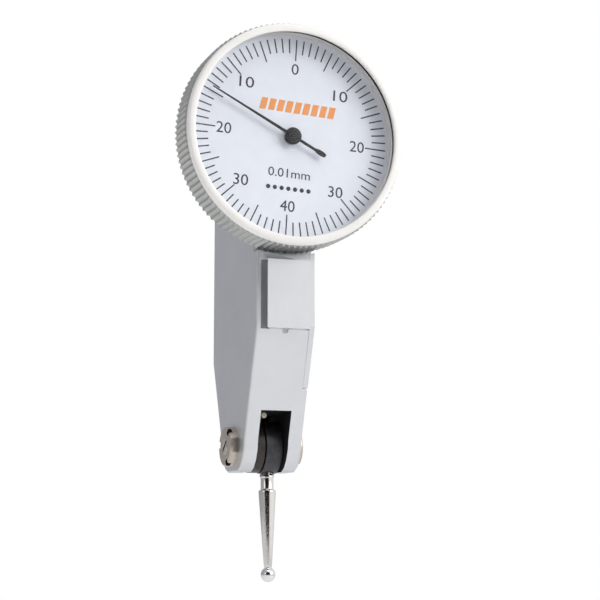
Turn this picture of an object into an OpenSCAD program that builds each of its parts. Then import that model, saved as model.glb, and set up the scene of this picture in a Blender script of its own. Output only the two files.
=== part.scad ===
// Lever-type dial test indicator, 0.01 mm, dial 0-40-0, one needle turn = 0.8 mm at the ball.
// +Z up, the dial faces -Y, the stylus points down; millimetres.
// The origin is the centre of the front dovetail's face.
// Inside every module the coordinates are counted from the lever's pivot axis.

/* [Body] */
// Width of the body across the pivot, cover included
body_w = 8.2; // [7:0.1:10]
// Front face, distance in front of the pivot axis
front_f = 10.4; // [8:0.1:12]
// Back face, distance behind the pivot axis
back_f = 9.6; // [7:0.1:11]
// Top of the body above the pivot axis
body_top = 52; // [48:0.5:54]
// Thickness of the side cover
cover_t = 0.75; // [0.5:0.05:1.2]
// Wall around the movement
wall = 1.2; // [0.8:0.1:2]
// Width of the stylus slot in the nose
slot_w = 4.3; // [3.5:0.1:5]
// Top of the stylus slot above the pivot axis
slot_top = 4.6; // [4.6:0.1:6]

/* [Dovetails] */
// Width over the dovetail's front face
dove_w = 6; // [5:0.1:7]
// How far a dovetail stands out
dove_p = 1.3; // [1:0.1:2]
// Lower end of the front dovetail above the pivot axis
dove_z0 = 15.1; // [14:0.1:18]
// Upper end of the front dovetail
dove_z1 = 24.3; // [22:0.1:25]

/* [Dial and bezel] */
// Centre of the dial above the pivot axis
dial_z = 40.8; // [40:0.1:42]
// Outer radius of the bezel
bezel_r = 15.35; // [15.1:0.05:16]
// Number of serrations round the bezel
knurl_n = 120; // [90:6:180]
// Depth of a serration
knurl_d = 0.3; // [0.1:0.02:0.4]
// Angle of the needle with the stylus free, clockwise from straight up
needle_rest = -62.4; // [-180:0.1:180]

/* [Stylus and lever] */
// Pivot axis to ball centre
stylus_l = 17.189; // [15:0.001:25]
// Ball radius
ball_r = 1; // [0.5:0.25:1.5]
// Lean of the stylus to the front
lean = 2.5; // [-10:0.5:10]
// Sideways place of the stylus and its barrel
barrel_x = 0.82; // [0.7:0.02:0.84]
// Radius of the swivel barrel
barrel_r = 3.6; // [3.2:0.05:3.65]
// Width of the swivel barrel
barrel_w = 2.26; // [2.1:0.02:2.26]

/* [Movement] */
// Pivot axis to the pin at the top of the lever
pin_z = 29.52; // [29.52:0.01:29.52]
// Pivot axis to the sector's axis
sector_z = 32.8; // [32.8:0.1:32.8]
// Running clearance, radial
run = 0.05; // [0.02:0.01:0.08]

/* [Hidden] */
z_pivot = -(dove_z0 + dove_z1) / 2;
y_pivot = front_f + dove_p;
hw = body_w / 2;
cov_x = hw - cover_t;
hs = slot_w / 2;
cav_x = -2.9;
bridge_x = 2.3;

// A point on the axis of the lever's pivot, in the object's frame
module place() {
    translate([0, y_pivot, z_pivot]) children();
}

// Cylinder along X from x0 to x1
module xcyl(x0, x1, y, z, r, fn = 48) {
    translate([x0, y, z]) rotate([0, 90, 0]) cylinder(h = x1 - x0, r = r, $fn = fn);
}

// Cylinder along Y from y0 to y1
module ycyl(x, y0, y1, z, r, fn = 48) {
    translate([x, y1, z]) rotate([90, 0, 0]) cylinder(h = y1 - y0, r = r, $fn = fn);
}

// Plate in the Y-Z plane from x0 to x1
module yz_plate(x0, x1, pts) {
    translate([x0, 0, 0]) rotate([90, 0, 90]) linear_extrude(height = x1 - x0) polygon(pts);
}

// Ring or disc turned about the dial's axis; points are radius and distance in front of the pivot axis
module dial_turned(pts) {
    translate([0, 0, dial_z]) rotate([90, 0, 0]) rotate_extrude($fn = 120) polygon(pts);
}

// Points of straight-sided teeth i0 to i1, angles counted from +X of the polygon
function teeth(n, r_root, r_tip, w_root, w_tip, a0, i0, i1) = [
    for (i = [i0:i1]) for (k = [0:3])
        let (a = a0 + i * 360 / n,
             r = (k == 0 || k == 3) ? r_root : r_tip,
             t = (k == 0) ? -w_root / 2 : (k == 1) ? -w_tip / 2 : (k == 2) ? w_tip / 2 : w_root / 2)
        [r * cos(a) - t * sin(a), r * sin(a) + t * cos(a)]
];

// Side outline of the body: a tall block that tapers to a rounded nose
body_pts = [[-front_f, body_top - 1], [-front_f, 15.6], [-5.3, 0.85], [-5.05, -0.6], [-4.4, -1.9], [-3.5, -2.9],
            [-2.3, -3.45], [2.3, -3.45], [3.5, -2.95], [4.4, -2.0], [5.05, -0.7], [5.3, 0.9],
            [back_f, 12.4], [back_f, body_top - 1], [back_f - 1, body_top], [-front_f + 1, body_top]];

// The hollow for the movement, one wall inside the outline
cavity_pts = [[-front_f + wall, body_top - 2.2], [-front_f + wall, 16.0], [-7.0, 9.6], [6.3, 9.6],
              [back_f - wall, 13.2], [back_f - wall, body_top - 2.2]];

post_at = [[6.4, 28.0], [6.4, 48.6], [-8.2, 30.5], [-8.2, 48.6]];
cover_at = [[-4.4, body_top - 1.1], [4.4, body_top - 1.1], [-5.2, 8.6], [4.9, 8.6]];
case_at = [[-2.6, 5.7], [2.6, 5.7], [-2.6, -5.7], [2.6, -5.7]];

// Dovetail bar standing on a face: half widths at the foot and at the face
module dove_bar(h) {
    foot = dove_w / 2 - dove_p / tan(60);
    linear_extrude(height = h)
        polygon([[-foot, 0.2], [-foot, 0], [-dove_w / 2, -dove_p], [dove_w / 2, -dove_p], [foot, 0], [foot, 0.2]]);
}

// Room for the back edge of the bezel where it crosses the body
module bezel_groove() dial_turned([[13.3, front_f - 1.4], [bezel_r + 0.35, front_f - 1.4],
                                   [bezel_r + 0.35, front_f + 0.3], [13.3, front_f + 0.3]]);

module body_frame() color([0.62, 0.63, 0.66]) place() {
    difference() {
        union() {
            difference() {
                yz_plate(-hw, hw, body_pts);
                // side cover's seat
                translate([cov_x, -20, 7.5]) cube([5, 40, 60]);
                // movement
                yz_plate(cav_x, hw + 1, cavity_pts);
                // reliefs beside the front dovetail
                translate([-3.5, -front_f - 1, dove_z0]) cube([1.5, 1.45, dove_z1 - dove_z0]);
                translate([2.0, -front_f - 1, dove_z0]) cube([1.3, 1.45, dove_z1 - dove_z0]);
            }
            // rib behind the bezel's groove
            translate([cav_x - 0.2, -9.4, 24.2]) cube([cov_x - cav_x + 0.2, 1.5, 4.4]);
            // posts for the train bridge
            for (p = post_at) xcyl(cav_x - 0.2, bridge_x, p[0], p[1], 1.05);
            // front, rear and top dovetails
            translate([0, -front_f, dove_z0]) dove_bar(dove_z1 - dove_z0);
            translate([0, back_f, 18]) rotate([0, 0, 180]) dove_bar(22);
            translate([0, 5.5, body_top]) rotate([90, 0, 0]) mirror([0, 1, 0]) dove_bar(11);
        }
        // slot for the stylus, right through the nose and lower at the back
        yz_plate(-hs, hs, [[-12, -6], [-12, slot_top], [3.5, slot_top], [3.5, 3.3], [12, 3.3], [12, -6]]);
        // passage for the lever
        translate([-hs, -3.2, slot_top - 1]) cube([1.6, 6.4, 7]);
        // pivot bushings
        xcyl(-hw - 1, hw + 1, 0, 0, 1.6);
        // small centre dimple under the front dovetail
        ycyl(0, -front_f - 1.0, -front_f + 0.4, dove_z0 - 0.1, 0.45);
        bezel_groove();
        // front bush
        ycyl(0, -front_f - 1, -front_f + wall + 1, dial_z, 1.6);
        // jewel seats and clearance behind them
        for (z = [sector_z, dial_z]) {
            xcyl(-3.4, cav_x + 1, 0, z, 0.7);
            xcyl(-3.7, -3.3, 0, z, 0.35);
        }
        // screw holes
        for (p = post_at) xcyl(bridge_x - 2.2, bridge_x + 1, p[0], p[1], 0.4);
        for (p = cover_at) xcyl(cov_x - 2.6, cov_x + 1, p[0], p[1], 0.45);
        for (p = case_at) ycyl(p[0], -front_f - 1, -front_f + wall + 0.5, dial_z + p[1], 0.5);
        // stop pins, hairspring stud
        for (s = [-1, 1]) xcyl(cav_x - 0.6, cav_x + 0.5, s * 1.78, 26, 0.3);
        ycyl(2.45, -front_f + 0.4, -front_f + wall + 1, dial_z, 0.25);
    }
}

module side_cover() color([0.66, 0.67, 0.70]) place() difference() {
    intersection() {
        yz_plate(cov_x, hw, body_pts);
        translate([cov_x - 1, -20, 7.5]) cube([5, 40, 60]);
    }
    bezel_groove();
    for (p = cover_at) {
        xcyl(cov_x - 1, hw + 1, p[0], p[1], 0.5);
        xcyl(hw - 0.5, hw + 1, p[0], p[1], 0.95);
    }
}

module cover_screws() color([0.75, 0.75, 0.77]) place() for (p = cover_at) difference() {
    union() {
        xcyl(hw - 0.5, hw - 0.05, p[0], p[1], 0.9);
        xcyl(cov_x - 2.2, hw - 0.4, p[0], p[1], 0.45);
    }
    translate([hw - 0.3, p[0] - 2, p[1] - 0.12]) cube([1, 4, 0.24]);
}

module case_plate() color([0.72, 0.72, 0.74]) place() difference() {
    dial_turned([[1.6, front_f], [13.5, front_f], [13.5, front_f + 0.28], [13.3, front_f + 0.28],
                 [13.3, front_f + 0.72], [13.5, front_f + 0.72], [13.5, front_f + 0.8], [1.6, front_f + 0.8]]);
    for (p = case_at) ycyl(p[0], -front_f - 2, -front_f + 1, dial_z + p[1], 0.5);
}

module case_screws() color([0.75, 0.75, 0.77]) place() for (p = case_at) difference() {
    union() {
        ycyl(p[0], -front_f - 1.2, -front_f - 0.8, dial_z + p[1], 0.9);
        ycyl(p[0], -front_f - 0.9, -front_f + wall - 0.05, dial_z + p[1], 0.5);
    }
    translate([p[0] - 2, -front_f - 1.4, dial_z + p[1] - 0.12]) cube([4, 0.4, 0.24]);
}

// Wire ring that holds the bezel on the case plate
module bezel_snap_ring() color([0.70, 0.70, 0.72]) place()
    translate([0, -front_f - 0.5, dial_z]) rotate([90, 0, 0])
        rotate_extrude($fn = 120) translate([13.5, 0]) circle(r = 0.2, $fn = 24);

// Bearing nuts in the two ears, with spanner slots
module pivot_bushing() difference() {
    union() {
        xcyl(hs, hw, 0, 0, 1.6);
        xcyl(hw, hw + 1.0, 0, 0, 2.7);
        translate([hw + 1.0, 0, 0]) rotate([0, 90, 0]) cylinder(h = 0.15, r1 = 2.7, r2 = 2.5, $fn = 64);
    }
    xcyl(hs - 1, hs + 1, 0, 0, 0.45);
    xcyl(hs + 0.15, hw, 0, 0, 0.8);
    xcyl(hs + 1.1, hw + 2, 0, 0, 1.1);
    for (a = [38, 158, 278]) translate([hw + 0.6, 0, 0]) rotate([a, 0, 0]) translate([0, -0.45, 1.9]) cube([1, 0.9, 2]);
}

module pivot_bushings() color([0.66, 0.62, 0.55]) place() {
    pivot_bushing();
    mirror([1, 0, 0]) pivot_bushing();
}

module pivot_screw() difference() {
    xcyl(hs + 1.1, hw + 1.2, 0, 0, 1.1);
    translate([hw + 0.8, 0, 0]) rotate([50, 0, 0]) translate([0, -0.17, -2]) cube([1, 0.34, 4]);
}

module pivot_screws() color([0.72, 0.69, 0.62]) place() {
    pivot_screw();
    mirror([1, 0, 0]) pivot_screw();
}

module lever_jewels() color([0.75, 0.08, 0.18]) place() for (s = [0, 1]) mirror([s, 0, 0]) difference() {
    xcyl(hs + 0.15, hs + 0.65, 0, 0, 0.8);
    xcyl(hs, hs + 1, 0, 0, 0.25 + run);
}

module train_bridge() color([0.80, 0.68, 0.38]) place() difference() {
    yz_plate(bridge_x, bridge_x + 0.5, [[-9.1, 28.9], [-7.0, 28.9], [-2.4, 27.0], [5.2, 26.4], [7.3, 26.4],
                                        [7.3, 49.7], [-9.1, 49.7]]);
    for (z = [sector_z, dial_z]) xcyl(bridge_x - 1, bridge_x + 1, 0, z, 0.7);
    for (p = post_at) xcyl(bridge_x - 1, bridge_x + 1, p[0], p[1], 0.45);
    xcyl(bridge_x - 1, bridge_x + 1, -3.3, dial_z - 0.6, 0.2);
    xcyl(bridge_x - 1, bridge_x + 1, -3.3, dial_z + 0.6, 0.2);
    // notch for the hairspring stud
    translate([bridge_x - 1, -10, dial_z - 0.6]) cube([3, 3.4, 1.2]);
}

module bridge_screws() color([0.75, 0.75, 0.77]) place() for (p = post_at) difference() {
    union() {
        xcyl(bridge_x + 0.5, bridge_x + 0.9, p[0], p[1], 0.85);
        xcyl(bridge_x - 1.8, bridge_x + 0.6, p[0], p[1], 0.4);
    }
    translate([bridge_x + 0.7, p[0] - 2, p[1] - 0.1]) cube([1, 4, 0.2]);
}

module train_jewels() color([0.75, 0.08, 0.18]) place() for (z = [sector_z, dial_z]) {
    difference() {
        xcyl(-3.4, cav_x, 0, z, 0.7);
        xcyl(-4, 0, 0, z, 0.2 + run);
    }
    difference() {
        xcyl(bridge_x, bridge_x + 0.5, 0, z, 0.7);
        xcyl(bridge_x - 1, bridge_x + 1, 0, z, 0.2 + run);
    }
}

// Arm that carries the rear jewel of the centre arbor
module centre_arm() color([0.80, 0.68, 0.38]) place() difference() {
    union() {
        translate([-0.9, -3.6, dial_z - 1]) cube([bridge_x + 0.9, 0.6, 2]);
        xcyl(bridge_x - 0.1, bridge_x + 0.5, -3.3, dial_z - 0.6, 0.2);
        xcyl(bridge_x - 0.1, bridge_x + 0.5, -3.3, dial_z + 0.6, 0.2);
    }
    ycyl(0, -4, -2, dial_z, 0.7);
}

module centre_jewel() color([0.75, 0.08, 0.18]) place() difference() {
    ycyl(0, -3.6, -3.0, dial_z, 0.7);
    ycyl(0, -4, -2, dial_z, 0.15 + run);
}

module front_bush() color([0.80, 0.68, 0.38]) place() difference() {
    ycyl(0, -front_f - 0.8, -front_f + wall + 0.3, dial_z, 1.6);
    ycyl(0, -front_f - 2, -front_f + wall + 1, dial_z, 0.4 + run);
}

// Flat spiral spring round the centre arbor, four turns in a plane across the arbor
spiral_n = 96;
function spiral_r(i) = 0.95 + 1.25 * i / spiral_n;
function spiral_a(i) = 1440 * (1 - i / spiral_n);
spiral_out = [for (i = [0:spiral_n]) (spiral_r(i) + 0.05) * [cos(spiral_a(i)), sin(spiral_a(i))]];
spiral_in = [for (i = [spiral_n:-1:0]) (spiral_r(i) - 0.05) * [cos(spiral_a(i)), sin(spiral_a(i))]];

module hairspring() color([0.35, 0.40, 0.55]) place()
    translate([0, -7.2, dial_z]) rotate([90, 0, 0])
        linear_extrude(height = 0.4) polygon(concat(spiral_out, spiral_in));

module hairspring_stud() color([0.80, 0.68, 0.38]) place() difference() {
    ycyl(2.45, -front_f + 0.4, -7.0, dial_z, 0.25);
    translate([2.0, -7.7, dial_z - 1]) cube([0.25, 1, 2]);
}

module stop_pins() color([0.75, 0.75, 0.77]) place()
    for (s = [-1, 1]) xcyl(cav_x - 0.6, -0.7, s * 1.78, 26, 0.3);

// Lever from the pivot up to the drive pin
module lever_arm() color([0.22, 0.22, 0.24]) place() difference() {
    union() {
        xcyl(-1.95, -0.5, 0, 0, 3.5);
        yz_plate(-1.95, -0.95, [[-1.9, 1], [1.9, 1], [1.3, 5], [0.75, 28.9], [0.45, 30.2], [-0.45, 30.2],
                                [-0.75, 28.9], [-1.3, 5]]);
        translate([-1.95, -1.95, 3.45]) cube([1.35, 1.5, 1.1]);
    }
    xcyl(-3, 0, 0, 0, 0.6);
    xcyl(-3, 0, 0, pin_z, 0.3);
    ycyl(-1.1, -3, -0.8, 4.07, 0.3);
}

module lever_axle() color([0.70, 0.70, 0.72]) place() {
    xcyl(-2.1, 2.1, 0, 0, 0.6);
    xcyl(2.05, 2.78, 0, 0, 0.25);
    xcyl(-2.78, -2.05, 0, 0, 0.25);
}

module lever_pin() color([0.75, 0.75, 0.77]) place() xcyl(-1.95, 2.1, 0, pin_z, 0.3);

module spring_peg() color([0.80, 0.80, 0.80]) place() {
    ycyl(-1.1, -1.95, -0.8, 4.07, 0.3);
    ycyl(-1.1, -4.6, -1.9, 4.07, 0.38);
}

module friction_washer() color([0.55, 0.55, 0.57]) place() difference() {
    xcyl(-0.5, barrel_x - barrel_w / 2 - 0.02, 0, 0, 1.7);
    xcyl(-2, 2, 0, 0, 0.6);
}

module axle_clip() color([0.55, 0.55, 0.57]) place() difference() {
    xcyl(barrel_x + barrel_w / 2 + 0.02, 2.1, 0, 0, 1.1);
    xcyl(-1, 3, 0, 0, 0.6);
}

// Black barrel that swings on the axle and holds the stylus
module swivel_barrel() color([0.12, 0.12, 0.14]) place() difference() {
    xcyl(barrel_x - barrel_w / 2, barrel_x + barrel_w / 2, 0, 0, barrel_r);
    xcyl(-3, 3, 0, 0, 0.62);
    translate([barrel_x, 0, 0]) rotate([180 - lean, 0, 0]) translate([0, 0, 1.1]) cylinder(h = 4, r = 0.8, $fn = 48);
}

// Turned stylus: threaded end, collar, neck, shoulder and long taper
module stylus() color([0.72, 0.71, 0.68]) place()
    translate([barrel_x, 0, 0]) rotate([180 - lean, 0, 0])
        rotate_extrude($fn = 64) polygon([[0, 1.2], [0.8, 1.2], [0.8, 3.65], [1.0, 3.65], [1.0, 4.15], [0.88, 4.2],
                                          [0.88, 5.75], [1.18, 5.9], [1.18, 6.3], [0.57, 15.9], [0.5, 16.3],
                                          [0.5, 16.9], [0, 16.9]]);

module contact_ball() color([0.75, 0.75, 0.78]) place()
    translate([barrel_x, 0, 0]) rotate([180 - lean, 0, 0]) difference() {
        translate([0, 0, stylus_l]) sphere(r = ball_r, $fn = 72);
        translate([0, 0, 15]) cylinder(h = 1.9, r = 0.5, $fn = 64);
    }

// Sector: fork below its axis, eleven teeth of a sixty-tooth wheel above it
module sector_gear() color([0.80, 0.68, 0.38]) place() difference() {
    translate([0, 0, sector_z]) union() {
        yz_plate(1.3, 1.8, concat(
            [[0.33, -4.2], [0.95, -4.2], [0.95, -1.2], [1.35, 0.6], [3.15, 4.55]],
            teeth(60, 5.74, 6.15, 0.40, 0.17, 90, -5, 5),
            [[-3.15, 4.55], [-1.35, 0.6], [-0.95, -1.2], [-0.95, -4.2], [-0.33, -4.2], [-0.33, -2.3], [0.33, -2.3]]));
        xcyl(0.9, 1.3, 0, 0, 0.85);
    }
    xcyl(-3, 3, 0, sector_z, 0.4);
}

module sector_arbor() color([0.70, 0.70, 0.72]) place() {
    xcyl(-2.8, 2.2, 0, sector_z, 0.4);
    xcyl(2.1, 2.75, 0, sector_z, 0.2);
    xcyl(-3.36, -2.7, 0, sector_z, 0.2);
}

// Crown wheel: sixty teeth on its right face
module crown_wheel() color([0.80, 0.68, 0.38]) place() translate([0, 0, dial_z]) difference() {
    union() {
        xcyl(-1.95, -1.35, 0, 0, 5.2, 96);
        xcyl(-1.95, -0.75, 0, 0, 0.9);
        for (i = [0:59]) rotate([i * 6, 0, 0]) translate([-1.4, -4.4, 0]) rotate([90, 0, 0])
            linear_extrude(height = 0.8) polygon([[0, -0.15], [0.22, -0.15], [0.57, -0.065], [0.57, 0.065],
                                                  [0.22, 0.15], [0, 0.15]]);
    }
    xcyl(-3, 3, 0, 0, 0.4);
    for (a = [45:90:315]) rotate([a, 0, 0]) xcyl(-3, 0, 0, 2.6, 1.15);
}

module crown_arbor() color([0.70, 0.70, 0.72]) place() {
    xcyl(-2.8, 2.2, 0, dial_z, 0.4);
    xcyl(2.1, 2.75, 0, dial_z, 0.2);
    xcyl(-3.36, -2.7, 0, dial_z, 0.2);
}

// Twenty-tooth pinion on the crown wheel's arbor, with a tooth space straight below the arbor
module crown_pinion() color([0.70, 0.70, 0.72]) place() difference() {
    translate([0, 0, dial_z]) yz_plate(1.1, 1.95, teeth(20, 1.72, 2.15, 0.40, 0.15, -90 + 9, 0, 19));
    xcyl(-3, 3, 0, dial_z, 0.4);
}

// Centre arbor with its twelve-tooth pinion, with a tooth space towards the crown wheel
module centre_arbor() color([0.70, 0.70, 0.72]) place() {
    translate([0, -4.3, dial_z]) rotate([90, 0, 0]) linear_extrude(height = 1.0)
        polygon(teeth(12, 0.74, 1.08, 0.24, 0.10, 180 + 15, 0, 11));
    ycyl(0, -13.2, -5.2, dial_z, 0.4);
    ycyl(0, -4.4, -4.15, dial_z, 0.4);
    ycyl(0, -4.2, -3.05, dial_z, 0.15);
}

module hairspring_collet() color([0.80, 0.68, 0.38]) place() difference() {
    ycyl(0, -7.9, -6.9, dial_z, 0.78);
    ycyl(0, -9, -6, dial_z, 0.4);
}

// Black needle: long taper, short tail with a pill-shaped counterweight
module needle() color([0.08, 0.08, 0.10]) place() translate([0, 0, dial_z]) rotate([0, needle_rest, 0]) difference() {
    union() {
        translate([0, -13.0, 0]) rotate([90, 0, 0]) linear_extrude(height = 0.15)
            polygon([[-0.24, -3.2], [-0.45, -3.7], [-0.45, -4.9], [-0.25, -5.25], [0.25, -5.25], [0.45, -4.9],
                     [0.45, -3.7], [0.24, -3.2], [0.26, 0], [0.08, 12.7], [-0.08, 12.7], [-0.26, 0]]);
        ycyl(0, -13.35, -12.85, 0, 1.15);
    }
    ycyl(0, -14, -12, 0, 0.4);
}

module needle_cap() color([0.08, 0.08, 0.10]) place() dial_turned([[0, 13.2], [0.4, 13.2], [0.4, 13.35], [0.8, 13.35],
                                                                   [0.7, 13.5], [0, 13.5]]);

// Bezel: serrated rim, bevelled front, groove for the snap ring, seat for dial and crystal
module bezel() color([0.78, 0.77, 0.74]) place() {
    dial_turned([[13.5 + run, 9.15], [14.9, 9.15], [15.0, 9.3], [15.0, 14.2], [14.95, 14.55], [14.6, 15.0],
                 [14.2, 15.0], [14.2, 14.4], [14.4, 14.4], [14.4, 11.9], [13.5 + run, 11.9], [13.5 + run, 11.18],
                 [13.85, 11.18], [13.85, 10.62], [13.5 + run, 10.62]]);
    difference() {
        translate([0, -9.35, dial_z]) rotate([90, 0, 0]) linear_extrude(height = 4.75)
            polygon([for (i = [0:knurl_n - 1]) for (k = [0:1])
                let (a = (i + k * 0.5) * 360 / knurl_n, r = (k == 0) ? bezel_r : bezel_r - knurl_d)
                [r * sin(a), r * cos(a)]]);
        ycyl(0, -15, -9, dial_z, 14.8, 120);
    }
}

module crystal() color([0.85, 0.90, 0.95, 0.35]) place()
    dial_turned([[0, 13.7], [14.4, 13.7], [14.4, 14.4], [14.2, 14.4], [14.1, 14.6], [0, 14.6]]);

module crystal_spacer() color([0.85, 0.85, 0.85]) place()
    dial_turned([[14.1, 12.3], [14.4, 12.3], [14.4, 13.7], [14.1, 13.7]]);

module dial() color([0.93, 0.94, 0.97]) place()
    dial_turned([[1.0, 11.9], [14.4, 11.9], [14.4, 12.3], [1.0, 12.3]]);

body_frame();
side_cover();
cover_screws();
case_plate();
case_screws();
bezel_snap_ring();
pivot_bushings();
pivot_screws();
lever_jewels();
train_bridge();
bridge_screws();
train_jewels();
centre_arm();
centre_jewel();
front_bush();
hairspring();
hairspring_stud();
stop_pins();
lever_arm();
lever_axle();
lever_pin();
spring_peg();
friction_washer();
axle_clip();
swivel_barrel();
stylus();
contact_ball();
sector_gear();
sector_arbor();
crown_wheel();
crown_arbor();
crown_pinion();
centre_arbor();
hairspring_collet();
needle();
needle_cap();
bezel();
crystal();
crystal_spacer();
dial();
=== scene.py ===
# %% [markdown]
# # A lever dial indicator
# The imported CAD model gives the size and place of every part. This script is a lesson in cells:
# it loads that fixed frame, makes one finish after another, rebuilds the outside pieces with
# softened edges and real printing, and lights them like a small object in a light tent.
# %% Load the frame
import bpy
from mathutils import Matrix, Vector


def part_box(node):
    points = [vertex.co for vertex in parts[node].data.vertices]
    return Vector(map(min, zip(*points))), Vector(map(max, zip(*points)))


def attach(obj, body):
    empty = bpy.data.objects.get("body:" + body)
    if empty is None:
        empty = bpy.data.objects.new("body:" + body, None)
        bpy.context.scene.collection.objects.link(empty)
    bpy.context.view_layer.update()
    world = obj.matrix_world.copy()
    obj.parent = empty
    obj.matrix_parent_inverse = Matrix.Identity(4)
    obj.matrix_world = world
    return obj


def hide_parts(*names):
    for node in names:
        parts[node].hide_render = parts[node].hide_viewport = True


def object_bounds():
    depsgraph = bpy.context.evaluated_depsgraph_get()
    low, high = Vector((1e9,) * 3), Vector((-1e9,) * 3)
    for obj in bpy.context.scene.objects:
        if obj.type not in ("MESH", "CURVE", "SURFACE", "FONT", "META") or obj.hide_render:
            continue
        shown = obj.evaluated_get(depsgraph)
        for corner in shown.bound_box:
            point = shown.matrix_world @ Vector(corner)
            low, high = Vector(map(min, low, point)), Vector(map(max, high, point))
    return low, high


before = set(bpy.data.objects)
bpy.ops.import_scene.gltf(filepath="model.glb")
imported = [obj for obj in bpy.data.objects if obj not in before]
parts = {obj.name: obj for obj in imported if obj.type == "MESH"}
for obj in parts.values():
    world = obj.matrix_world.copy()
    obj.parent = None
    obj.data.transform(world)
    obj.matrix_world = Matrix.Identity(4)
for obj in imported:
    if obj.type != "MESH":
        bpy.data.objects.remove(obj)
cad_low, cad_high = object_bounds()

# %% [markdown]
# The frame tells where things are. Three places matter most: the axis the stylus swings on, the
# middle of the printed dial, and the middle of the contact ball. All of them are read from the
# boxes of CAD parts, so nothing here has to be fitted by eye.
# %% Landmarks
import math
import bmesh
import bpy
from mathutils import Matrix, Vector

MM = 0.001


def middle(node):
    low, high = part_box(node)
    return (low + high) / 2


PIVOT = middle("lever_axle")
DIAL_LOW, DIAL_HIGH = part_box("dial")
DIAL = Vector((0, DIAL_LOW.y, (DIAL_LOW.z + DIAL_HIGH.z) / 2))
BALL = middle("contact_ball")
BARREL = Vector((BALL.x, PIVOT.y, PIVOT.z))
DOWN = (BALL - BARREL).normalized()
print("pivot", [round(c / MM, 2) for c in PIVOT], "dial", [round(c / MM, 2) for c in DIAL],
      "ball", [round(c / MM, 2) for c in BALL])

# %% [markdown]
# A finish is a small network of nodes. Every one reads Object coordinates in metres, so a grain
# of 0.1 mm is the same size on every part. This helper keeps the networks short to read: it adds
# a node, sets its sockets, and links whatever is given as an output of another node.
# %% A short way to add nodes
class Finish:
    def __init__(self, name):
        self.material = bpy.data.materials.new(name)
        self.material.use_nodes = True
        self.tree = self.material.node_tree
        self.shader = self.tree.nodes["Principled BSDF"]
        self.place = self.add("ShaderNodeTexCoord").outputs["Object"]

    def add(self, kind, settings=(), **sockets):
        node = self.tree.nodes.new(kind)
        for key, value in dict(settings).items():
            setattr(node, key, value)
        for key, value in sockets.items():
            self.put(node.inputs[key.replace("_", " ")], value)
        return node

    def put(self, socket, value):
        if isinstance(value, bpy.types.NodeSocket):
            self.tree.links.new(value, socket)
        else:
            socket.default_value = value

    def set(self, **sockets):
        for key, value in sockets.items():
            self.put(self.shader.inputs[key.replace("_", " ")], value)

    def noise(self, size, detail=2.0, place=None):
        """Cloudy grain whose lumps are about size metres across."""
        return self.add("ShaderNodeTexNoise", Vector=place or self.place, Scale=1 / size, Detail=detail,
                        Roughness=0.55).outputs["Fac"]

    def between(self, value, low, high):
        """A number that runs from low to high over the middle of a grain."""
        return self.add("ShaderNodeMapRange", Value=value, From_Min=0.3, From_Max=0.7, To_Min=low,
                        To_Max=high).outputs["Result"]

    def shade(self, value, dark, light):
        """A colour that runs from dark to light over the middle of a grain."""
        ramp = self.add("ShaderNodeValToRGB", Fac=value)
        ramp.color_ramp.elements[0].position, ramp.color_ramp.elements[1].position = 0.3, 0.7
        ramp.color_ramp.elements[0].color = (*dark, 1)
        ramp.color_ramp.elements[1].color = (*light, 1)
        return ramp.outputs["Color"]

    def dents(self, height, depth, strength=1.0, under=None):
        """Relief of depth metres from a grain."""
        node = self.add("ShaderNodeBump", Height=height, Distance=depth, Strength=strength)
        if under is not None:
            self.put(node.inputs["Normal"], under)
        return node.outputs["Normal"]


def tinted(colour, factor):
    return tuple(min(1.0, c * factor) for c in colour)


print("a colour 3 per cent darker than mid grey:", tinted((0.5, 0.5, 0.5), 0.97))

# %% [markdown]
# The housing is die-cast, bead blasted and plated in satin chrome. Up close that is a field of
# shallow dents, so it spreads light almost like paper but still gleams at a slant. Three sizes
# of grain give it: blast dents, a mottle of about a millimetre, and slow drift over centimetres.
# The bezel's plating comes in two copies: the front ring gets less metal and a lighter colour as
# painted light, and the knurled band a darker colour as painted shade.
# %% Plated and blasted metals
def blasted_metal(name, colour, rough, dent=0.12 * MM, depth=0.006 * MM, mottle=0.03, metal=1.0):
    f = Finish(name)
    drift = f.noise(7 * MM, 3)
    f.set(Base_Color=f.shade(drift, tinted(colour, 1 - mottle), tinted(colour, 1 + mottle)),
          Roughness=f.between(f.noise(0.9 * MM, 4), rough - 0.04, rough + 0.05), Metallic=metal,
          Normal=f.dents(f.noise(dent, 3), depth, under=f.dents(f.noise(1.6 * MM, 2), 0.012 * MM)))
    return f.material


satin_chrome = blasted_metal("satin_chrome", (0.70, 0.715, 0.74), 0.46)
# Two copies of the bezel plating: the knurled band darker as painted shade, the front ring lighter with less
# metal as painted light.
bezel_band_shade = blasted_metal("bezel_band_shade", (0.54, 0.55, 0.53), 0.44, dent=0.08 * MM, depth=0.003 * MM)
bezel_front_lit = blasted_metal("bezel_front_lit", (0.95, 0.935, 0.915), 0.50, dent=0.08 * MM, depth=0.003 * MM,
                            metal=0.2)
# A darker copy of the blasted steel, used as painted shade beside the dovetail.
dovetail_shade_steel = blasted_metal("dovetail_shade_steel", (0.52, 0.53, 0.55), 0.5, depth=0.003 * MM)
plate_steel = blasted_metal("plate_steel", (0.62, 0.62, 0.63), 0.34, depth=0.003 * MM)
print("blasted:", satin_chrome.name, bezel_band_shade.name, bezel_front_lit.name, dovetail_shade_steel.name, plate_steel.name)

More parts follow.
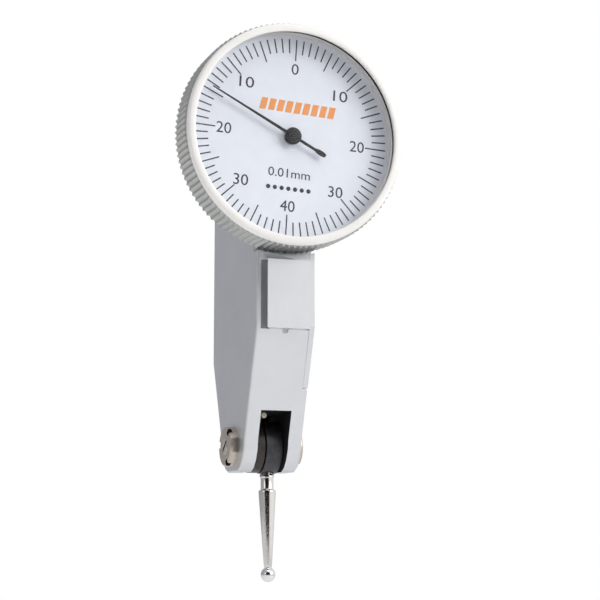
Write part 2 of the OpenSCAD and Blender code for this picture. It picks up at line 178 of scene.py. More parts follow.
# %% [markdown]
# Turned parts carry fine rings left by the tool. The rings lie across the part's own axis, so the
# pattern is a Wave texture in ring form, centred on that axis by a Mapping node. A little noise
# breaks it up, because no lathe cuts two rings alike.
# %% Turned metals
def turned_metal(name, colour, rough, axis, centre, pitch=0.09 * MM, depth=0.001 * MM, tarnish=0.04):
    f = Finish(name)
    local = f.add("ShaderNodeMapping", {"vector_type": "TEXTURE"}, Vector=f.place,
                  Location=tuple(centre)).outputs["Vector"]
    rings = f.add("ShaderNodeTexWave", {"wave_type": "RINGS", "rings_direction": axis}, Vector=local,
                  Scale=0.1 / pitch, Distortion=0.6, Detail=2.0, Detail_Scale=3.0).outputs["Fac"]
    stain = f.noise(0.8 * MM, 4)
    f.set(Base_Color=f.shade(stain, tinted(colour, 1 - tarnish), tinted(colour, 1 + tarnish)), Metallic=1.0,
          Roughness=f.between(f.noise(0.3 * MM, 3), rough - 0.03, rough + 0.05), Normal=f.dents(rings, depth))
    return f.material


warm_nickel = turned_metal("warm_nickel", (0.56, 0.50, 0.43), 0.36, "X", PIVOT, pitch=0.3 * MM,
                           depth=0.0015 * MM, tarnish=0.06)
screw_nickel = turned_metal("screw_nickel", (0.66, 0.62, 0.55), 0.24, "X", PIVOT, pitch=0.25 * MM,
                            depth=0.001 * MM, tarnish=0.05)
stylus_steel = turned_metal("stylus_steel", (0.80, 0.785, 0.765), 0.07, "Z", BARREL, depth=0.0006 * MM)
ball_steel = turned_metal("ball_steel", (0.80, 0.80, 0.81), 0.07, "Z", BALL, depth=0.0003 * MM)
arbor_steel = turned_metal("arbor_steel", (0.62, 0.62, 0.64), 0.22, "X", PIVOT)
case_screw_steel = turned_metal("case_screw_steel", (0.66, 0.66, 0.67), 0.25, "Y", DIAL)
wheel_brass = turned_metal("wheel_brass", (0.83, 0.64, 0.30), 0.27, "X", DIAL, tarnish=0.07)
bush_brass = turned_metal("bush_brass", (0.80, 0.62, 0.31), 0.30, "Y", DIAL, tarnish=0.07)
hairspring_blue = turned_metal("hairspring_blue", (0.10, 0.16, 0.42), 0.25, "Y", DIAL, tarnish=0.25)
print(len(bpy.data.materials), "finishes so far, the turned ones ringed about their own axes")

# %% [markdown]
# Plate brass is grained in one direction on emery paper: noise stretched along one axis by a
# Mapping node. The black parts are oxidised steel, which is nearly black, slightly warm, and still
# shines like metal beneath an oiled skin, so it has a coat over a dark, rough metal.
# %% Grained brass and black oxide
def grained_metal(name, colour, rough, stretch):
    f = Finish(name)
    long_grain = f.add("ShaderNodeMapping", Vector=f.place, Scale=stretch).outputs["Vector"]
    f.set(Base_Color=f.shade(f.noise(1.2 * MM, 4), tinted(colour, 0.93), tinted(colour, 1.06)), Metallic=1.0,
          Roughness=f.between(f.noise(0.5 * MM, 3), rough - 0.04, rough + 0.06),
          Normal=f.dents(f.noise(0.09 * MM, 3, long_grain), 0.002 * MM))
    return f.material


def black_oxide(name, colour, rough):
    f = Finish(name)
    f.set(Base_Color=f.shade(f.noise(0.7 * MM, 4), tinted(colour, 0.75), tinted(colour, 1.3)), Metallic=0.55,
          Roughness=f.between(f.noise(0.35 * MM, 4), rough - 0.05, rough + 0.08), Coat_Weight=0.25,
          Coat_Roughness=0.25, Normal=f.dents(f.noise(0.1 * MM, 3), 0.002 * MM))
    return f.material


bridge_brass = grained_metal("bridge_brass", (0.82, 0.65, 0.33), 0.30, (1.0, 1.0, 0.06))
clip_steel = grained_metal("clip_steel", (0.50, 0.50, 0.53), 0.30, (1.0, 0.08, 1.0))
barrel_black = black_oxide("barrel_black", (0.045, 0.046, 0.052), 0.40)
lever_black = black_oxide("lever_black", (0.040, 0.033, 0.033), 0.42)
print("grained:", bridge_brass.name, clip_steel.name, "black:", barrel_black.name, lever_black.name)

# %% [markdown]
# The dial is aluminium sprayed with a fine bluish-white lacquer. Ink and needle paint are matt and
# sit on top of it. Each gets a faint mottle and an orange-peel relief, which keeps a flat area
# from looking like plain light.
# %% Lacquer, ink and paint
def lacquer(name, colour, rough, peel=0.25 * MM, depth=0.002 * MM, mottle=0.02, coat=0.0):
    f = Finish(name)
    f.set(Base_Color=f.shade(f.noise(2.5 * MM, 4), tinted(colour, 1 - mottle), tinted(colour, 1 + mottle)),
          Roughness=f.between(f.noise(0.6 * MM, 3), rough - 0.05, rough + 0.06), Coat_Weight=coat,
          Coat_Roughness=0.12, Normal=f.dents(f.noise(peel, 2), depth))
    return f.material


dial_white = lacquer("dial_white", (0.80, 0.83, 0.90), 0.55)
ink_black = lacquer("ink_black", (0.035, 0.035, 0.045), 0.6, mottle=0.15)
ink_orange = lacquer("ink_orange", (0.86, 0.33, 0.10), 0.55, mottle=0.06)
needle_black = lacquer("needle_black", (0.006, 0.006, 0.008), 0.5, mottle=0.2)
# Near-black used as painted shade inside the stylus slot, the notches of the bearing nuts and the screw slots.
recess_shade_black = lacquer("recess_shade_black", (0.008, 0.007, 0.008), 0.7, mottle=0.25)
ring_ivory = lacquer("ring_ivory", (0.74, 0.72, 0.69), 0.45)
print("painted:", dial_white.name, ink_black.name, ink_orange.name, needle_black.name, recess_shade_black.name)

# %% [markdown]
# The crystal is clear acrylic: it lets light through with a slight gloss on top. Glass would keep
# the lamps off the dial in a path tracer, so the shader turns see-through for shadow rays, which
# is how a thin pane behaves. Ruby is a denser, red, polished glass.
# %% Crystal and ruby
def clear_acrylic(name):
    f = Finish(name)
    f.set(Base_Color=(0.985, 0.99, 1.0, 1.0), Transmission_Weight=1.0, IOR=1.2, Specular_IOR_Level=0.2,
          Roughness=f.between(f.noise(3 * MM, 2), 0.0, 0.02))
    tree = f.tree
    open_air = f.add("ShaderNodeBsdfTransparent")
    mix = f.add("ShaderNodeMixShader", Fac=f.add("ShaderNodeLightPath").outputs["Is Shadow Ray"])
    tree.links.new(f.shader.outputs["BSDF"], mix.inputs[1])
    tree.links.new(open_air.outputs["BSDF"], mix.inputs[2])
    tree.links.new(mix.outputs["Shader"], tree.nodes["Material Output"].inputs["Surface"])
    return f.material


def ruby_stone(name):
    f = Finish(name)
    f.set(Base_Color=f.shade(f.noise(0.4 * MM, 3), (0.55, 0.01, 0.06), (0.80, 0.04, 0.14)), IOR=1.76,
          Roughness=f.between(f.noise(0.3 * MM, 2), 0.04, 0.09), Coat_Weight=0.6, Coat_Roughness=0.03)
    return f.material


crystal_clear = clear_acrylic("crystal_clear")
ruby = ruby_stone("ruby")
print(len(bpy.data.materials), "finishes made")

# %% [markdown]
# The movement inside is right as the CAD has it, so those parts keep their meshes and only get
# a finish. Each is listed with the finish the real part has, and the finish goes on the part's
# material slots.
# %% Finish the parts that keep their CAD shape
KEPT = {
    satin_chrome: ["case_plate"],
    plate_steel: ["cover_screws", "bezel_snap_ring", "bridge_screws", "stop_pins", "lever_pin"],
    case_screw_steel: ["case_screws"],
    arbor_steel: ["lever_axle", "sector_arbor", "crown_arbor", "crown_pinion", "centre_arbor"],
    clip_steel: ["friction_washer", "axle_clip"],
    warm_nickel: ["spring_peg"],
    bridge_brass: ["train_bridge", "centre_arm"],
    wheel_brass: ["sector_gear", "crown_wheel"],
    bush_brass: ["front_bush", "hairspring_collet", "hairspring_stud"],
    hairspring_blue: ["hairspring"],
    ruby: ["lever_jewels", "train_jewels", "centre_jewel"],
    crystal_clear: ["crystal"],
    ring_ivory: ["crystal_spacer"],
    dial_white: ["dial"],
}
for finish, names in KEPT.items():
    for name in names:
        parts[name].data.materials.clear()
        parts[name].data.materials.append(finish)
print(sum(len(names) for names in KEPT.values()), "CAD parts finished")

# %% [markdown]
# Every new piece ends the same way: the bmesh becomes an object at the origin, its faces are
# smooth except over sharp edges, it gets its finish, it rides on a CAD body, and it may stand for
# CAD parts that it hides. Weighted normals keep wide flat faces flat beside small rounded edges.
# %% Turn a bmesh into a finished piece
def make_piece(name, bm, body, finish, stands_for=(), crease=32.0):
    bmesh.ops.recalc_face_normals(bm, faces=bm.faces)
    mesh = bpy.data.meshes.new(name)
    bm.to_mesh(mesh)
    bm.free()
    mesh.polygons.foreach_set("use_smooth", [True] * len(mesh.polygons))
    mesh.set_sharp_from_angle(angle=math.radians(crease))
    mesh.materials.append(finish)
    piece = bpy.data.objects.new(name, mesh)
    bpy.context.scene.collection.objects.link(piece)
    weighted = piece.modifiers.new("flat faces stay flat", "WEIGHTED_NORMAL")
    weighted.keep_sharp = True
    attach(piece, body)
    if stands_for:
        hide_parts(*stands_for)
    print(f"{name}: {len(mesh.polygons)} faces, rides on {body}")
    return piece


# %% [markdown]
# A copy of a CAD part comes as loose triangles. Merging its doubles closes it, and a limited
# dissolve takes out the edges that lie flat in a face, so that only real edges are left to round.
# %% Clean copies of CAD parts
def clean_copy(node):
    bm = bmesh.new()
    bm.from_mesh(parts[node].data)
    bmesh.ops.remove_doubles(bm, verts=bm.verts, dist=0.001 * MM)
    bmesh.ops.dissolve_limit(bm, angle_limit=math.radians(0.8), verts=bm.verts, edges=bm.edges)
    return bm


def round_edges(bm, size, keep, segments=3, angle=25.0):
    """Bevels the outward edges that turn more than angle and that keep(middle, direction) accepts."""
    chosen = []
    for edge in bm.edges:
        if len(edge.link_faces) == 2 and edge.is_convex and edge.calc_face_angle() > math.radians(angle):
            a, b = (v.co for v in edge.verts)
            if keep((a + b) / 2, b - a):
                chosen.append(edge)
    bmesh.ops.bevel(bm, geom=chosen, offset=size, offset_type="OFFSET", affect="EDGES", segments=segments,
                    profile=0.5, material=-1, clamp_overlap=True, loop_slide=True)
    print(f"  rounded {len(chosen)} edges by {size / MM:.2f} mm")


# %% [markdown]
# The housing's outline is cut from one block. Its long outer corners are broken by tumbling
# before plating, so they carry a soft radius of about a quarter of a millimetre that catches the
# light. The dovetails are ground afterwards and keep crisper edges.
# %% Housing
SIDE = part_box("body_frame")[1].x
SEAM, COVER_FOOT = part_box("side_cover")[0].x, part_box("side_cover")[0].z
TOUCH = 0.01 * MM  # closer than this counts as lying in a plane
CORNER = 0.25 * MM  # radius of the long outer corners


def on_side(point, along):
    return abs(abs(point.x) - SIDE) < TOUCH and along.length > 2 * CORNER


def on_seam(point, along):
    return abs(point.x - SEAM) < TOUCH and point.y < PIVOT.y - 5 * MM and abs(along.z) > 0.7 * along.length


housing = clean_copy("body_frame")
round_edges(housing, CORNER, on_side)
round_edges(housing, 0.06 * MM, on_seam, segments=1)
body_shell = make_piece("body_shell", housing, "frame", satin_chrome, ["body_frame"])

# %% [markdown]
# One casting can carry several finishes, because every face keeps the number of its material slot.
# The inside of the stylus slot is painted near-black as painted shade, and the floors and flanks
# beside the front dovetail get a darker steel as painted shade under its overhang.
# %% Painted shade in the slot and beside the dovetail
SLOT_HALF = 2.17 * MM
SLOT_TOP = PIVOT.z + 4.62 * MM
DOVETAIL_HALF = 4.61 * MM


def shaded_beside_dovetail(face):
    """The two floors beside the dovetail, and its sloping flanks, which get painted shade."""
    x, y, z = abs(face.center.x) / MM, face.center.y / MM, abs(face.center.z)
    floor_face = 2.0 < x < 3.5 and 1.5 < y < 2.4
    flank = 1.99 < x < 3.55 and y < 2.5 and abs(face.normal.y) < 0.99
    return z < DOVETAIL_HALF and (floor_face or flank)


def refinish(piece, finish, chosen):
    """Adds a finish to a piece and gives it to the faces that chosen accepts."""
    piece.data.materials.append(finish)
    faces = [face for face in piece.data.polygons if chosen(face)]
    for face in faces:
        face.material_index = len(piece.data.materials) - 1
    print(f"  {len(faces)} faces of {piece.name} are in {finish.name}")


# Painted shade: the faces inside the stylus slot get the near-black finish.
refinish(body_shell, recess_shade_black, lambda f: abs(f.center.x) < SLOT_HALF and f.center.z < SLOT_TOP)
# Painted shade: the floors and flanks beside the dovetail get the darker steel.
refinish(body_shell, dovetail_shade_steel, shaded_beside_dovetail)

# %% [markdown]
# The side cover is a thin plate let into the housing. Its joint shows as a fine line, so its foot
# and its inner face are drawn back a little before the same long corners are rounded.
# %% Side cover
cover = clean_copy("side_cover")
for v in cover.verts:
    if abs(v.co.z - COVER_FOOT) < TOUCH:
        v.co.z += 0.12 * MM
    if abs(v.co.x - SEAM) < TOUCH:
        v.co.x += 0.03 * MM
round_edges(cover, CORNER, on_side)
make_piece("cover_shell", cover, "frame", satin_chrome, ["side_cover"])

# %% [markdown]
# Each bearing nut is turned, with three notches for a spanner, and holds a slotted screw that sets
# the lever's play. A copy keeps the CAD's notches and slots, and the rims are eased so they glint.
# The notch floors and the screw slots are painted near-black as painted shade in these recesses.
# %% Bearing nuts and pivot screws
def off_axis(point):
    return math.hypot(point.y - PIVOT.y, point.z - PIVOT.z)


def recess_shade_faces(out_low, out_high, r_low, r_high):
    """Accepts faces by how far out of the body and off the pivot axis they are, in millimetres."""
    return lambda face: (out_low < (abs(face.center.x) - SIDE) / MM < out_high
                         and r_low <= off_axis(face.center) / MM < r_high)


nuts = clean_copy("pivot_bushings")
round_edges(nuts, 0.07 * MM, lambda p, d: abs(p.x) > SIDE + 0.1 * MM, segments=2)
nut_pair = make_piece("bearing_nuts", nuts, "frame", warm_nickel, ["pivot_bushings"])
# Painted shade: the notch floors of the nuts get the near-black finish.
refinish(nut_pair, recess_shade_black, recess_shade_faces(0.58, 0.95, 1.85, 2.66))
screws = clean_copy("pivot_screws")
round_edges(screws, 0.07 * MM, lambda p, d: abs(p.x) > SIDE + 1.1 * MM, segments=2)
screw_pair = make_piece("bearing_screws", screws, "frame", screw_nickel, ["pivot_screws"])
# Painted shade: the slots of the screws get the near-black finish.
refinish(screw_pair, recess_shade_black, recess_shade_faces(0.78, 1.17, 0.0, 1.0))

# %% [markdown]
# The swivel barrel and the lever are black. Their rims are rounded with a narrow bevel, which
# gives the thin bright line seen along a blackened edge.
# %% Barrel and lever
barrel = clean_copy("swivel_barrel")
round_edges(barrel, 0.18 * MM, lambda p, d: off_axis(p) > 3.4 * MM, segments=3)
make_piece("stylus_barrel", barrel, "stylus_unit", barrel_black, ["swivel_barrel"])
lever = clean_copy("lever_arm")
DISC_TOP = PIVOT.z + 2.9 * MM
round_edges(lever, 0.15 * MM, lambda p, d: 3.3 * MM < off_axis(p) < 3.6 * MM and p.z < DISC_TOP, segments=3)
make_piece("drive_lever", lever, "lever", lever_black, ["lever_arm"])


# %% [markdown]
# Turned pieces start as half of their outline, drawn as a few points of radius and height, and
# the outline is spun round the axis. A full spin with use_merge closes the last step on the first.
# %% Spin an outline round an axis
def spun(points, centre, axis, steps, cap=False):
    """points are (radius, distance along axis) in millimetres, counted from centre."""
    side = axis.orthogonal().normalized()
    bm = bmesh.new()
    rim = [bm.verts.new(centre + side * (r * MM) + axis * (h * MM)) for r, h in points]
    edges = [bm.edges.new(pair) for pair in zip(rim, rim[1:])]
    if not cap:
        edges.append(bm.edges.new((rim[-1], rim[0])))
    bmesh.ops.spin(bm, geom=rim + edges, cent=centre, axis=axis, angle=2 * math.pi, steps=steps,
                   use_merge=True)
    bmesh.ops.remove_doubles(bm, verts=bm.verts, dist=0.0005 * MM)
    bmesh.ops.dissolve_degenerate(bm, dist=0.0005 * MM, edges=bm.edges)
    return bm


print("outlines are spun about an axis, down the stylus first:", [round(c, 3) for c in DOWN])

# %% [markdown]
# The stylus is a long polished taper. From the barrel down it has a stub, a thin collar, a neck
# and the taper's shoulder; small corner radii are part of the outline. The ball's outline starts
# inside the tip of the taper, so that no gap shows between the two.
# %% Stylus and contact ball
STYLUS = [(0.0, 1.25), (0.74, 1.25), (0.8, 1.32), (0.8, 3.65), (0.97, 3.65), (1.0, 3.7), (1.0, 4.1),
          (0.96, 4.16), (0.89, 4.2), (0.88, 4.3), (0.88, 5.65), (0.93, 5.76), (1.12, 5.88), (1.17, 5.95),
          (1.18, 6.05), (1.175, 6.35), (0.57, 15.9), (0.52, 16.1), (0.5, 16.3), (0.5, 16.88), (0.0, 16.88)]
make_piece("stylus_rod", spun(STYLUS, BARREL, DOWN, 64, cap=True), "stylus_unit", stylus_steel,
           ["stylus"])
ball_radius = (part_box("contact_ball")[1].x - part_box("contact_ball")[0].x) / 2 / MM
reach = (BALL - BARREL).length / MM
arc = [math.radians(a) for a in range(30, 181, 6)]
BALL_LINE = [(ball_radius * math.sin(a), reach - ball_radius * math.cos(a)) for a in arc[:-1]]
BALL_LINE = [(0.0, reach - 0.86 * ball_radius)] + BALL_LINE + [(0.0, reach + ball_radius)]
make_piece("ball_tip", spun(BALL_LINE, BARREL, DOWN, 48, cap=True), "stylus_unit", ball_steel,
           ["contact_ball"])

# %% [markdown]
# The bezel is gripped by its straight-cut rim, so the teeth have to be real. The smooth outline
# is spun in four steps for each tooth, and then the points of the rim are moved in: not at all
# on a crest, half on a flank, fully in a root. The teeth end in short slopes at both edges. The
# plain front ring, which holds the crystal under a thin lip, gets a paler copy of the plating as
# painted light, while the knurled band's copy is darkened as painted shade.
# %% Bezel
TEETH = 120
BEZEL_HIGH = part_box("bezel")[1]
RIM = (BEZEL_HIGH.z - DIAL.z) / MM
CUT = 0.3
FRONT_RING = 14.3  # faces further forward than this, in millimetres, belong to the front ring
BEZEL = [(13.55, 9.15), (14.85, 9.15), (14.97, 9.2), (15.02, 9.35), (RIM, 9.55), (RIM, 13.95),
         (15.05, 14.2), (15.05, 14.55), (15.02, 14.73), (14.94, 14.88), (14.82, 14.97), (14.68, 15.0),
         (14.15, 15.0), (14.02, 14.97), (13.96, 14.9), (13.95, 14.8), (13.95, 14.66), (14.2, 14.66),
         (14.2, 14.4), (14.4, 14.4), (14.4, 11.9), (13.55, 11.9), (13.55, 11.18), (13.85, 11.18),
         (13.85, 10.62), (13.55, 10.62)]
dial_axis = Vector((0, -1, 0))
ring_centre = Vector((0, PIVOT.y, DIAL.z))
bezel = spun(BEZEL, ring_centre, dial_axis, TEETH * 4)
for v in bezel.verts:
    out = v.co - ring_centre
    across = math.hypot(out.x, out.z)
    if across > (RIM - 0.01) * MM:
        turn = round(math.atan2(out.x, out.z) / (2 * math.pi) * TEETH * 4) % 4
        less = 1 - (0, 0.5, 1, 0.5)[turn] * CUT * MM / across
        v.co = Vector((v.co.x * less, v.co.y, ring_centre.z + out.z * less))
# The ring's forward faces get the lighter copy as painted light; the rest keep the darker copy as painted
# shade.
rim = make_piece("bezel_rim", bezel, "bezel_unit", bezel_band_shade, ["bezel"], crease=40.0)
refinish(rim, bezel_front_lit, lambda f: (PIVOT.y - f.center.y) / MM > FRONT_RING)

# %% [markdown]
# The needle is pressed from thin sheet: a long taper, and a short tail with a pill-shaped weight.
# It is drawn as a flat outline pointing straight up, extruded to the thickness of the sheet, and
# turned to where it rests. The boss is turned, with a sleeve that fills the hole in the dial, a
# shallow step and a domed cap.
# %% Needle
NEEDLE_REST = -62.4  # degrees from straight up, clockwise
NEEDLE_FRONT = -13.0 * MM
SHEET = 0.14 * MM


def new_verts(grown):
    """The vertices that an extrusion has made."""
    return [v for v in grown["geom"] if isinstance(v, bmesh.types.BMVert)]


needle_place = Matrix.Translation(ring_centre) @ Matrix.Rotation(math.radians(NEEDLE_REST), 4, "Y")
BLADE = [(0.07, 12.62), (0.20, 1.0), (0.19, -1.0), (0.17, -3.5), (0.25, -3.75), (0.33, -4.15), (0.34, -4.6),
         (0.29, -5.0), (0.16, -5.22)]
blade = bmesh.new()
outline = BLADE + [(-x, z) for x, z in reversed(BLADE)]
face = blade.faces.new([blade.verts.new((x * MM, NEEDLE_FRONT, z * MM)) for x, z in outline])
grown = bmesh.ops.extrude_face_region(blade, geom=[face])
bmesh.ops.translate(blade, vec=(0, -SHEET, 0), verts=new_verts(grown))
bmesh.ops.transform(blade, matrix=needle_place, verts=blade.verts)
make_piece("needle_blade", blade, "centre", needle_black, ["needle"])
BOSS = [(0.0, 12.42), (0.94, 12.42), (0.98, 12.46), (0.98, 12.86), (1.05, 12.87), (1.12, 12.92), (1.15, 13.0),
        (1.15, 13.24), (1.10, 13.32), (1.0, 13.36), (0.82, 13.37), (0.78, 13.42), (0.72, 13.47), (0.5, 13.49),
        (0.0, 13.5)]
make_piece("needle_boss", spun(BOSS, ring_centre, dial_axis, 64, cap=True), "centre", needle_black,
           ["needle_cap"])

# %% [markdown]
# The dial is printed. Eighty graduations stand for 0.01 mm each; every fifth is long. They are
# thin bars, each made and turned to its own angle, so the dial keeps its real spacing. The
# numbers run 0 to 40 both ways, which is how a lever indicator is read.
# %% Dial graduations
DIAL_TURN = 3.31  # degrees that the dial has been set clockwise
SCALE = 13.61  # outer radius of the graduations, in millimetres like the three values below
INK = 0.02  # thickness of the print
LINE = 0.17  # width of a graduation
NUMBER_RADIUS = 0.695 * SCALE


def printed(bm, name, finish):
    """Lays a print drawn upright at the origin, in the X-Z plane, on the dial."""
    turn = Matrix.Rotation(math.radians(DIAL_TURN), 4, "Y")
    bmesh.ops.transform(bm, matrix=Matrix.Translation(DIAL) @ turn, verts=bm.verts)
    return make_piece(name, bm, "bezel_unit", finish)


def bar(bm, width, low, high, angle=0.0, slope=0.0):
    """A flat printed bar from radius low to high at an angle clockwise from straight up."""
    corners = [(-width / 2 - slope, low), (width / 2 - slope, low), (width / 2 + slope, high),
               (-width / 2 + slope, high)]
    face = bm.faces.new([bm.verts.new((x * MM, 0, z * MM)) for x, z in corners])
    top = new_verts(bmesh.ops.extrude_face_region(bm, geom=[face]))
    bmesh.ops.translate(bm, vec=(0, -INK * MM, 0), verts=top)
    turn = Matrix.Rotation(math.radians(angle), 3, "Y")
    bmesh.ops.rotate(bm, matrix=turn, verts=list(face.verts) + top)


ticks = bmesh.new()
for i in range(80):
    bar(ticks, LINE, SCALE * (0.782 if i % 5 == 0 else 0.855), SCALE, angle=i * 4.5)
printed(ticks, "dial_graduations", ink_black)


# %% [markdown]
# Numbers are made as text, turned into a mesh before anything moves them, given a little
# thickness, and set to the height and width of the real print.
# %% Dial numbers
def lettering(bm, text, height, width, x, z):
    """Adds text, height and width in millimetres, centred on (x, z)."""
    curve = bpy.data.curves.new("lettering", "FONT")
    curve.body = text
    curve.resolution_u = 4
    holder = bpy.data.objects.new("lettering", curve)
    bpy.context.scene.collection.objects.link(holder)
    flat = holder.to_mesh()
    part = bmesh.new()
    part.from_mesh(flat)
    holder.to_mesh_clear()
    bpy.data.objects.remove(holder)
    bmesh.ops.remove_doubles(part, verts=part.verts, dist=1e-4)
    xs, ys = [v.co.x for v in part.verts], [v.co.y for v in part.verts]
    fit = Matrix.Diagonal((width / (max(xs) - min(xs)), height / (max(ys) - min(ys)), 1, 1))
    bmesh.ops.translate(part, vec=(-(max(xs) + min(xs)) / 2, -(max(ys) + min(ys)) / 2, 0), verts=part.verts)
    upright = Matrix.Rotation(math.pi / 2, 4, "X") @ Matrix.Scale(MM, 4)
    bmesh.ops.transform(part, matrix=Matrix.Translation((x * MM, 0, z * MM)) @ upright @ fit, verts=part.verts)
    grown = bmesh.ops.extrude_face_region(part, geom=part.faces[:])
    bmesh.ops.translate(part, vec=(0, -INK * MM, 0), verts=new_verts(grown))
    spare = bpy.data.meshes.new("lettering")
    part.to_mesh(spare)
    part.free()
    bm.from_mesh(spare)
    bpy.data.meshes.remove(spare)
    bpy.data.curves.remove(curve)


numbers = bmesh.new()
for i, text in enumerate(["0", "10", "20", "30", "40", "30", "20", "10"]):
    a = math.radians(i * 45)
    wide = 1.0 if text == "0" else 2.05
    lettering(numbers, text, 1.5, wide, NUMBER_RADIUS * math.sin(a), NUMBER_RADIUS * math.cos(a))
lettering(numbers, "0.01mm", 1.2, 5.9, 0.0, -5.0)
printed(numbers, "dial_numbers", ink_black)

# %% [markdown]
# Two plain marks fill the places where a maker prints words: a band of slanted orange stripes
# above the needle, and a row of seven dots for the jewelled bearings below it.
# %% Plain marks in place of words
STRIPE_STEP = 1.21
stripes = bmesh.new()
for i in range(9):
    x = (i - 4) * STRIPE_STEP + 0.7
    corners = [(x - 0.60, 3.35), (x + 0.28, 3.35), (x + 0.60, 4.95), (x - 0.28, 4.95)]
    face = stripes.faces.new([stripes.verts.new((px * MM, 0, pz * MM)) for px, pz in corners])
grown = bmesh.ops.extrude_face_region(stripes, geom=stripes.faces[:])
bmesh.ops.translate(stripes, vec=(0, -INK * MM, 0), verts=new_verts(grown))
printed(stripes, "dial_stripes", ink_orange)

DOT, DOT_STEP, DOT_ROW = 0.3, 0.95, -7.1
dots = bmesh.new()
for i in range(7):
    spot = Matrix.Translation(((i - 3) * DOT_STEP * MM, -INK / 2 * MM, DOT_ROW * MM))
    bmesh.ops.create_cone(dots, cap_ends=True, segments=20, radius1=DOT * MM, radius2=DOT * MM,
                          depth=INK * MM, matrix=spot @ Matrix.Rotation(math.pi / 2, 4, "X"))
printed(dots, "dial_dots", ink_black)

# %% [markdown]
# The stage is a wide pale floor, well below the indicator, which is held up as in a holder. It
# is a disc of plain card with a faint tooth, and it glows a little, as card in a light tent does.
# %% Floor
FLOOR_RADIUS = 3.0
FLOOR_DROP = 135 * MM
floor_card = lacquer("floor_card", (0.97, 0.97, 0.97), 0.9, peel=2 * MM, depth=0.02 * MM, mottle=0.01)
card_sockets = floor_card.node_tree.nodes["Principled BSDF"].inputs
card_sockets["Emission Color"].default_value = (1, 1, 1, 1)
card_sockets["Emission Strength"].default_value = 0.1
floor_mesh = bmesh.new()
bmesh.ops.create_circle(floor_mesh, cap_ends=True, segments=96, radius=FLOOR_RADIUS,
                        matrix=Matrix.Translation((0, 0, cad_low.z - FLOOR_DROP)))
floor_data = bpy.data.meshes.new("floor")
floor_mesh.to_mesh(floor_data)
floor_mesh.free()
floor_data.materials.append(floor_card)
floor = bpy.data.objects.new("floor", floor_data)
bpy.context.scene.collection.objects.link(floor)
print("floor at", round((cad_low.z - FLOOR_DROP) / MM, 1), "mm")

# %% [markdown]
# The camera stands a little to the left of the dial and slightly below it, so that the side of the
# body shows, and looks at a point part-way up the body. Its place is given as two angles and a
# distance from that point, which is easier to set than three coordinates.
# %% Camera
AZIMUTH, ELEVATION, DISTANCE = math.radians(-19.66), math.radians(-8.59), 0.225
back = Vector((math.sin(AZIMUTH) * math.cos(ELEVATION), -math.cos(AZIMUTH) * math.cos(ELEVATION),
               math.sin(ELEVATION)))
aim = PIVOT + Vector((5.70, 0.0, 20.80)) * MM
camera = bpy.data.objects.new("camera", bpy.data.cameras.new("camera"))
camera.data.lens, camera.data.sensor_width = 96.0, 36.0
camera.data.clip_start, camera.data.clip_end = 0.01, 10.0
camera.location = aim + back * DISTANCE
camera.rotation_mode = "QUATERNION"
camera.rotation_quaternion = (-back).to_track_quat("-Z", "Y")
bpy.context.scene.collection.objects.link(camera)
bpy.context.scene.camera = camera
print("camera at mm", [round(c / MM, 1) for c in camera.location])

# %% [markdown]
# Light comes as in a tent: broad, white, strongest from the front right and above, weaker from
# the left, with a dark gap where the camera looks in. Polished round parts show that gap as the
# dark line down their middle. The gap and the left-to-right fall-off are in the sky's nodes, and
# what the camera sees directly stays plain white.
# %% Sky
world = bpy.data.worlds.new("tent")
bpy.context.scene.world = world
world.use_nodes = True
sky = world.node_tree
sky.nodes.clear()


def sky_node(kind, settings=(), **sockets):
    node = sky.nodes.new(kind)
    for key, value in dict(settings).items():
        setattr(node, key, value)
    for key, value in sockets.items():
        socket = node.inputs[int(key[1:])] if key[0] == "i" and key[1:].isdigit() else node.inputs[key]
        if isinstance(value, bpy.types.NodeSocket):
            sky.links.new(value, socket)
        else:
            socket.default_value = value
    return node


toward = sky_node("ShaderNodeTexCoord").outputs["Generated"]


def along(direction):
    return sky_node("ShaderNodeVectorMath", {"operation": "DOT_PRODUCT"}, i0=toward,
                    i1=tuple(Vector(direction).normalized())).outputs["Value"]


def stepped(value, stops):
    """Turns a value between -1 and 1 into a colour, by stops of (place from 0 to 1, colour)."""
    share = sky_node("ShaderNodeMapRange", i0=value, i1=-1.0, i2=1.0).outputs[0]
    ramp = sky_node("ShaderNodeValToRGB", Fac=share)
    elements = ramp.color_ramp.elements
    for element, (position, colour) in zip((elements[0], elements[1]), (stops[0], stops[-1])):
        element.position, element.color = position, (*colour, 1)
    for position, colour in stops[1:-1]:
        elements.new(position).color = (*colour, 1)
    return ramp.outputs["Color"]


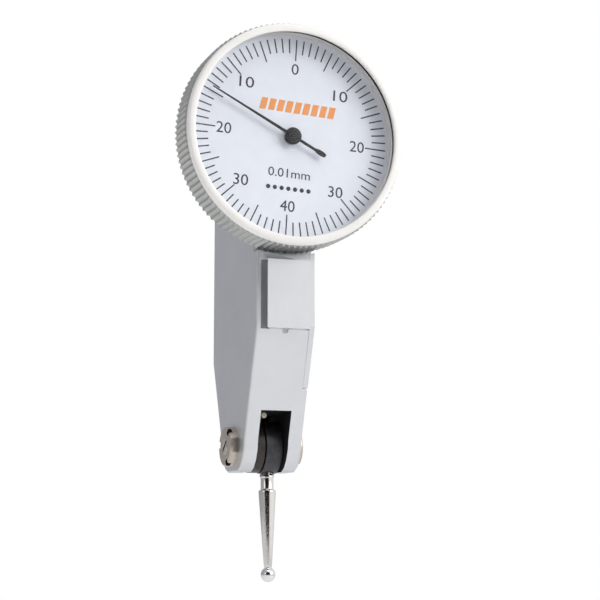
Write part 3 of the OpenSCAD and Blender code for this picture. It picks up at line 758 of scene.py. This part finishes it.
sideways = stepped(along((0.85, -0.5, 0.25)), [(0.0, (0.36, 0.36, 0.38)), (0.45, (0.48, 0.48, 0.50)),
                                               (0.75, (0.80, 0.80, 0.80)), (1.0, (0.95, 0.95, 0.94))])
gap = stepped(along((back.x, back.y, -back.z)), [(0.0, (1, 1, 1)), (0.90, (1, 1, 1)),
                                                 (0.93, (0.06, 0.045, 0.04)), (1.0, (0.02, 0.015, 0.012))])
tent = sky_node("ShaderNodeMix", {"data_type": "RGBA", "blend_type": "MULTIPLY"}, i0=1.0, i6=sideways, i7=gap)
camera_ray = sky_node("ShaderNodeLightPath").outputs["Is Camera Ray"]
seen = sky_node("ShaderNodeMix", {"data_type": "RGBA"}, i0=camera_ray, i6=tent.outputs[2],
                i7=(1.0, 1.0, 1.0, 1.0))
background = sky_node("ShaderNodeBackground", Color=seen.outputs[2], Strength=1.0)
sky.links.new(background.outputs["Background"], sky_node("ShaderNodeOutputWorld").inputs["Surface"])
print(len(sky.nodes), "nodes in the sky")

# %% [markdown]
# Three round area lamps add direction to the tent. The main one, at the front right, is large and
# near, so its shadows are soft; the one above lights the top; a weak one lifts the left side.
# %% Lamps
def soft_lamp(name, direction, distance, size, power, colour=(1, 1, 1)):
    lamp = bpy.data.lights.new(name, "AREA")
    lamp.shape, lamp.size, lamp.energy, lamp.color = "DISK", size, power, colour
    holder = bpy.data.objects.new(name, lamp)
    spot = (cad_low + cad_high) / 2
    way = Vector(direction).normalized()
    holder.location = spot + way * distance
    holder.rotation_mode = "QUATERNION"
    holder.rotation_quaternion = (-way).to_track_quat("-Z", "Y")
    holder.visible_camera = False
    bpy.context.scene.collection.objects.link(holder)


soft_lamp("lamp_front_right", (0.75, -0.75, 0.45), 0.6, 0.35, 1.0, (1.0, 0.99, 0.97))
soft_lamp("lamp_top", (0.0, -0.35, 1.0), 0.6, 0.4, 0.7)
soft_lamp("lamp_left", (-1.0, -0.45, 0.3), 0.7, 0.3, 0.15, (0.95, 0.97, 1.0))
print(len(bpy.data.lights), "lamps")

# %% [markdown]
# Tone mapping for film would grey the white ground, so the plain Standard view is used.
# %% Plain tone
bpy.context.scene.view_settings.view_transform = "Standard"
bpy.context.scene.view_settings.look = "None"
print("view:", bpy.context.scene.view_settings.view_transform)
